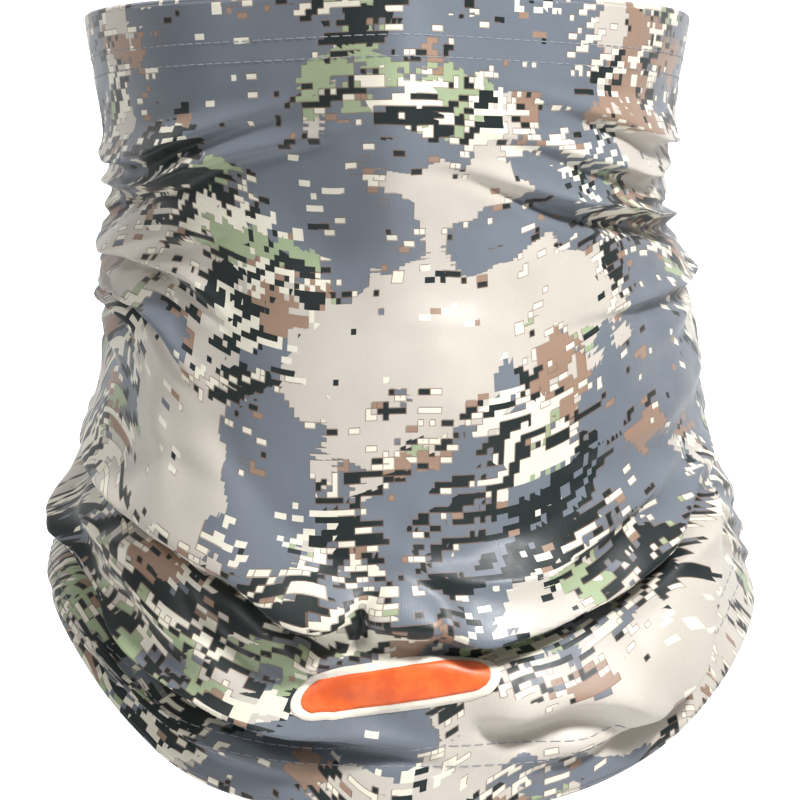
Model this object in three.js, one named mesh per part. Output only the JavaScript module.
// Neck gaiter in its worn shape: a tube of stretch knit over the nose and cheeks, gathered to the
// neck and dropping to a soft cowl in front.
// Millimetres. +Z is up and the front faces -Y. The origin is on the neck axis, at the level of
// the lowest point of the front hem.
import * as THREE from 'three';

// Heights above the lowest point of the front hem
const TOP_LEVEL = 191;
const BACK_HEM_LEVEL = 57;
const HEM_RISE = { spread: 0.32, power: 1.57 };

// Outer size at seven equal steps from the top edge to the bottom edge
const HALF_WIDTH = [75, 70.5, 68, 72, 74, 82, 87];
const FRONT_DEPTH = [86, 88, 90, 92, 92, 96, 91];
const BACK_DEPTH = [82, 79, 73, 65, 63, 69, 73];
const NOSE_RIDGE = [17, 16, 7, 2, 0, 0, 0];
const NOSE_RADIUS = 10;
const NOSE_SLOPE = 0.95;
const NOSE_REACH = 28;
const CHEEK_BLEND = 7;

// Cloth and making
const CLOTH = 0.8;
const LAYER_GAP = 0.45;
const HEM_TURN = 18;
const HEM_EDGE_GAP = 0.8;
const NEEDLE_GAUGE = 5;
const THREAD = 0.4;
const SEAM_WIDTH = 7;
const SEAM_GAUGE = 4;

// Care label: a blank satin tape folded in two
const LABEL_WIDTH = 24;
const LABEL_LENGTH = 32;
const LABEL_TAPE = 0.25;
const LABEL_DROP = 22;

// Printed transfer on the front of the cowl: an orange bar on a cream backing
const TRANSFER_LEVEL = 31;
const TRANSFER_CENTRE = -3;
const TRANSFER_BACKING = { width: 47, height: 13, lift: 0.3, thick: 0.3 };
const TRANSFER_FACE = { width: 43, height: 9, lift: 0.9, thick: 0.3 };

// Facets
const COLUMNS = 64;
const ROWS = 26;

// Value between equal stations, with a smooth curve through them
function along(stations, s) {
  const last = stations.length - 1;
  const x = Math.min(Math.max(s, 0), 1) * last;
  const i = Math.min(Math.floor(x), last - 1);
  const t = x - i;
  const [p0, p1, p2, p3] = [-1, 0, 1, 2].map((k) => stations[Math.min(Math.max(i + k, 0), last)]);
  const m1 = (p2 - p0) / 2;
  const m2 = (p3 - p1) / 2;
  const t2 = t * t;
  const t3 = t2 * t;
  return (2 * t3 - 3 * t2 + 1) * p1 + (t3 - 2 * t2 + t) * m1 + (3 * t2 - 2 * t3) * p2 + (t3 - t2) * m2;
}

// Level of the bottom edge at an angle around the neck, 0 at the front
function hemLevel(theta) {
  const back = (1 - Math.cos(theta)) / 2;
  return BACK_HEM_LEVEL * (1 - Math.exp(-((back / HEM_RISE.spread) ** HEM_RISE.power)));
}

// Share of the height that a length in millimetres takes at this angle
function share(theta, mm) {
  return mm / (TOP_LEVEL - hemLevel(theta));
}

// Cloth pulled straight from the nose to the cheeks, where it joins their round
function frontDepth(x, c, s) {
  const cheek = along(FRONT_DEPTH, s) * c;
  const ridge = along(NOSE_RIDGE, s);
  const tip = along(FRONT_DEPTH, s) + ridge;
  const past = Math.max(Math.abs(x) - NOSE_REACH, 0) + Math.max(4 - ridge, 0) * 10;
  const tent = tip - NOSE_SLOPE * (Math.hypot(x, NOSE_RADIUS) - NOSE_RADIUS) - 0.02 * past * past;
  const blend = CHEEK_BLEND * Math.min(ridge / 10, 1) + 0.01;
  const near = Math.max(blend - Math.abs(cheek - tent), 0) / blend;
  return Math.max(cheek, tent) + (near * near * blend) / 4;
}

// Outer face of the cloth: theta from the front, s from 0 at the top edge to 1 at the bottom edge
function face(theta, s) {
  const x = along(HALF_WIDTH, s) * Math.sin(theta);
  const c = Math.cos(theta);
  const y = c > 0 ? -frontDepth(x, c, s) : -along(BACK_DEPTH, s) * c;
  const z = TOP_LEVEL - s * (TOP_LEVEL - hemLevel(theta));
  return new THREE.Vector3(x, y, z);
}

// A point off the outer face: down the cloth by `down` and outward by `out`, in millimetres
function off(theta, s, down, out) {
  const e = 0.002;
  const p = face(theta, s);
  const around = face(theta + e, s).sub(face(theta - e, s)).normalize();
  const fall = face(theta, Math.min(s + e, 1)).sub(face(theta, Math.max(s - e, 0))).normalize();
  const normal = new THREE.Vector3().crossVectors(fall, around).normalize();
  return p.addScaledVector(fall, down).addScaledVector(normal, out);
}

// Closed skin over loops of points. Each loop is one section; the sections close on themselves
// in a ring, or are capped at both ends.
function skin(loops, ring) {
  const n = loops[0].length;
  const sections = loops.length;
  const points = loops.flat();
  const index = [];
  for (let i = 0; i < (ring ? sections : sections - 1); i += 1) {
    const a = i * n;
    const b = ((i + 1) % sections) * n;
    for (let j = 0; j < n; j += 1) {
      const k = (j + 1) % n;
      index.push(a + j, b + j, b + k, a + j, b + k, a + k);
    }
  }
  if (!ring) {
    // Loops are long and narrow, with the same count on each side, so the caps are ladders
    for (let j = 0; j < n / 2 - 1; j += 1) {
      const far = n - 1 - j;
      const end = (sections - 1) * n;
      index.push(j, j + 1, far - 1, j, far - 1, far);
      index.push(end + j, end + far - 1, end + j + 1, end + j, end + far, end + far - 1);
    }
  }
  const geometry = new THREE.BufferGeometry();
  geometry.setAttribute('position', new THREE.Float32BufferAttribute(points.flatMap((p) => [p.x, p.y, p.z]), 3));
  geometry.setIndex(index);
  geometry.computeVertexNormals();
  return volume(geometry) < 0 ? turnedOut(geometry) : geometry;
}

function volume(geometry) {
  const position = geometry.getAttribute('position');
  const index = geometry.getIndex();
  const corner = (i) => new THREE.Vector3().fromBufferAttribute(position, index.getX(i));
  let total = 0;
  for (let i = 0; i < index.count; i += 3) {
    total += corner(i).dot(corner(i + 1).cross(corner(i + 2))) / 6;
  }
  return total;
}

function turnedOut(geometry) {
  const flipped = Array.from(geometry.getIndex().array).reverse();
  geometry.setIndex(flipped);
  geometry.computeVertexNormals();
  return geometry;
}

const steps = (count) => Array.from({ length: count }, (_, i) => i);
const angles = steps(COLUMNS).map((i) => (2 * Math.PI * i) / COLUMNS);

// Band of cloth all the way round, between two distances and two depths under the outer face
function clothRing(from, to, outer, inner, rows) {
  return skin(angles.map((theta) => {
    const s = (j) => from(theta) + ((to(theta) - from(theta)) * j) / rows;
    const front = steps(rows + 1).map((j) => off(theta, s(j), 0, -outer));
    const back = steps(rows + 1).map((j) => off(theta, s(rows - j), 0, -inner));
    return [...front, ...back];
  }), true);
}

// Thread section around a point on the cloth
function threadSection(theta, s, out) {
  return steps(6).map((k) => {
    const turn = (2 * Math.PI * k) / 6;
    return off(theta, s, (THREAD / 2) * Math.cos(turn), out + (THREAD / 2) * Math.sin(turn));
  });
}

const threadRing = (s, out) => skin(angles.map((theta) => threadSection(theta, s(theta), out)), true);

// Thread down the back seam, at a distance to one side of it
function threadDown(from, to, aside, out) {
  const theta = Math.PI + aside / BACK_DEPTH[3];
  return skin(steps(ROWS + 1).map((j) => {
    const s = from + ((to - from) * j) / ROWS;
    return steps(6).map((k) => {
      const turn = (2 * Math.PI * k) / 6;
      const wide = (THREAD / 2) * Math.cos(turn);
      const p = off(theta, s, 0, out + (THREAD / 2) * Math.sin(turn));
      p.x += wide;
      return p;
    });
  }), false);
}

// Flat patch that follows the cloth; corners says where each edge is
function patch(columns, rows, place, outer, inner) {
  return skin(steps(columns + 1).map((i) => {
    const u = i / columns;
    const front = steps(rows + 1).map((j) => off(...place(u, j / rows), 0, outer));
    const back = steps(rows + 1).map((j) => off(...place(u, 1 - j / rows), 0, inner));
    return [...front, ...back];
  }), false);
}

// Where a front height lies between the edges at this angle
const levelShare = (theta, z) => (TOP_LEVEL - z) / (TOP_LEVEL - hemLevel(theta));

// Bar with half-round ends, wrapped on the front of the cowl
function bar({ width, height, lift, thick }) {
  const straight = width / 2 - height / 2;
  const halfHeight = (x) => {
    const past = Math.max(Math.abs(x) - straight, 0);
    return Math.max(Math.sqrt(Math.max((height / 2) ** 2 - past * past, 0)), 0.4);
  };
  const radius = along(HALF_WIDTH, 0.85);
  return patch(24, 3, (u, v) => {
    const x = (width / 2) * Math.sin((u - 0.5) * Math.PI);
    const theta = Math.asin((TRANSFER_CENTRE + x) / radius);
    return [theta, levelShare(theta, TRANSFER_LEVEL + halfHeight(x) * (1 - 2 * v))];
  }, lift, lift + thick);
}

// Label tape: down the wall, round a fold and up again
function label() {
  const near = underSeam + THREAD + LAYER_GAP;
  const rows = 8;
  const spread = LABEL_WIDTH / 2 / BACK_DEPTH[1];
  const top = share(Math.PI, LABEL_DROP);
  const fall = share(Math.PI, LABEL_LENGTH);
  const outside = [];
  const inside = [];
  for (let j = 0; j <= rows; j += 1) {
    outside.push([top + (fall * j) / rows, near]);
    inside.push([top + (fall * (j * (rows - 0.3))) / rows / rows, near + LABEL_TAPE]);
  }
  const wall = [...outside, ...outside.map(([s]) => [s, near + 3 * LABEL_TAPE + LAYER_GAP]).reverse()];
  const lining = [...inside, ...inside.map(([s]) => [s, near + 2 * LABEL_TAPE + LAYER_GAP]).reverse()];
  const loop = [...wall, ...lining.reverse()];
  return skin(steps(9).map((i) => {
    const theta = Math.PI - spread + (2 * spread * i) / 8;
    return loop.map(([s, depth]) => off(theta, s, 0, -depth));
  }), false);
}

const turnOuter = CLOTH + LAYER_GAP;
const turnInner = turnOuter + CLOTH;
const underHem = turnInner + LAYER_GAP + THREAD / 2;
const seamOuter = CLOTH + LAYER_GAP + 0.15;
const seamInner = seamOuter + CLOTH;
const underSeam = seamInner + LAYER_GAP + THREAD / 2;
const onFace = LAYER_GAP + THREAD / 2;
const spreadOf = (mm) => mm / BACK_DEPTH[3];

const topLine = (mm) => (theta) => share(theta, mm);
const bottomLine = (mm) => (theta) => 1 - share(theta, mm);
const seamTop = share(Math.PI, HEM_TURN + 1.5);
const seamBottom = 1 - seamTop;

function seamAllowance() {
  const half = spreadOf(SEAM_WIDTH / 2);
  const place = (u, v) => [Math.PI - half + 2 * half * u, seamTop + (seamBottom - seamTop) * v];
  return patch(2, ROWS, place, -seamOuter, -seamInner);
}

function labelStitch() {
  const depth = underSeam + THREAD + 4 * LABEL_TAPE + 3 * LAYER_GAP;
  const spread = LABEL_WIDTH / 2 / BACK_DEPTH[1] - spreadOf(2);
  const s = share(Math.PI, LABEL_DROP + 2);
  return skin(steps(9).map((i) => {
    const theta = Math.PI - spread + (2 * spread * i) / 8;
    return threadSection(theta, s, -depth);
  }), false);
}

const group = new THREE.Group();

function add(name, geometry, color) {
  const mesh = new THREE.Mesh(geometry, new THREE.MeshStandardMaterial({ color, roughness: 0.8 }));
  mesh.name = name;
  group.add(mesh);
}

const PRINT = 0x9c9a98;
const LINING = 0xa9a6a2;
const YARN = 0x8b8a8c;
const CREAM = 0xf0ead8;
const ORANGE = 0xe8742a;

add('tube_panel', clothRing(() => 0, () => 1, 0, CLOTH, ROWS), PRINT);
add('top_hem_turning', clothRing(topLine(HEM_EDGE_GAP), topLine(HEM_TURN), turnOuter, turnInner, 3), LINING);
add('bottom_hem_turning', clothRing(bottomLine(HEM_TURN), bottomLine(HEM_EDGE_GAP), turnOuter, turnInner, 3), LINING);

for (const [edge, line] of [['top', topLine], ['bottom', bottomLine]]) {
  const near = HEM_TURN - 2 - NEEDLE_GAUGE;
  add(`${edge}_hem_needle_thread_a`, threadRing(line(near), onFace), YARN);
  add(`${edge}_hem_needle_thread_b`, threadRing(line(near + NEEDLE_GAUGE), onFace), YARN);
  add(`${edge}_hem_looper_thread`, threadRing(line(near + NEEDLE_GAUGE / 2), -underHem), YARN);
}

add('back_seam_allowance', seamAllowance(), LINING);
add('back_seam_needle_thread_a', threadDown(seamTop, seamBottom, -SEAM_GAUGE / 2, onFace), YARN);
add('back_seam_needle_thread_b', threadDown(seamTop, seamBottom, SEAM_GAUGE / 2, onFace), YARN);
add('back_seam_cover_thread', threadDown(seamTop, seamBottom, 0, -underSeam), YARN);
add('care_label', label(), CREAM);
add('care_label_stitch', labelStitch(), YARN);
add('transfer_backing', bar(TRANSFER_BACKING), CREAM);
add('transfer_face', bar(TRANSFER_FACE), ORANGE);

export default group;
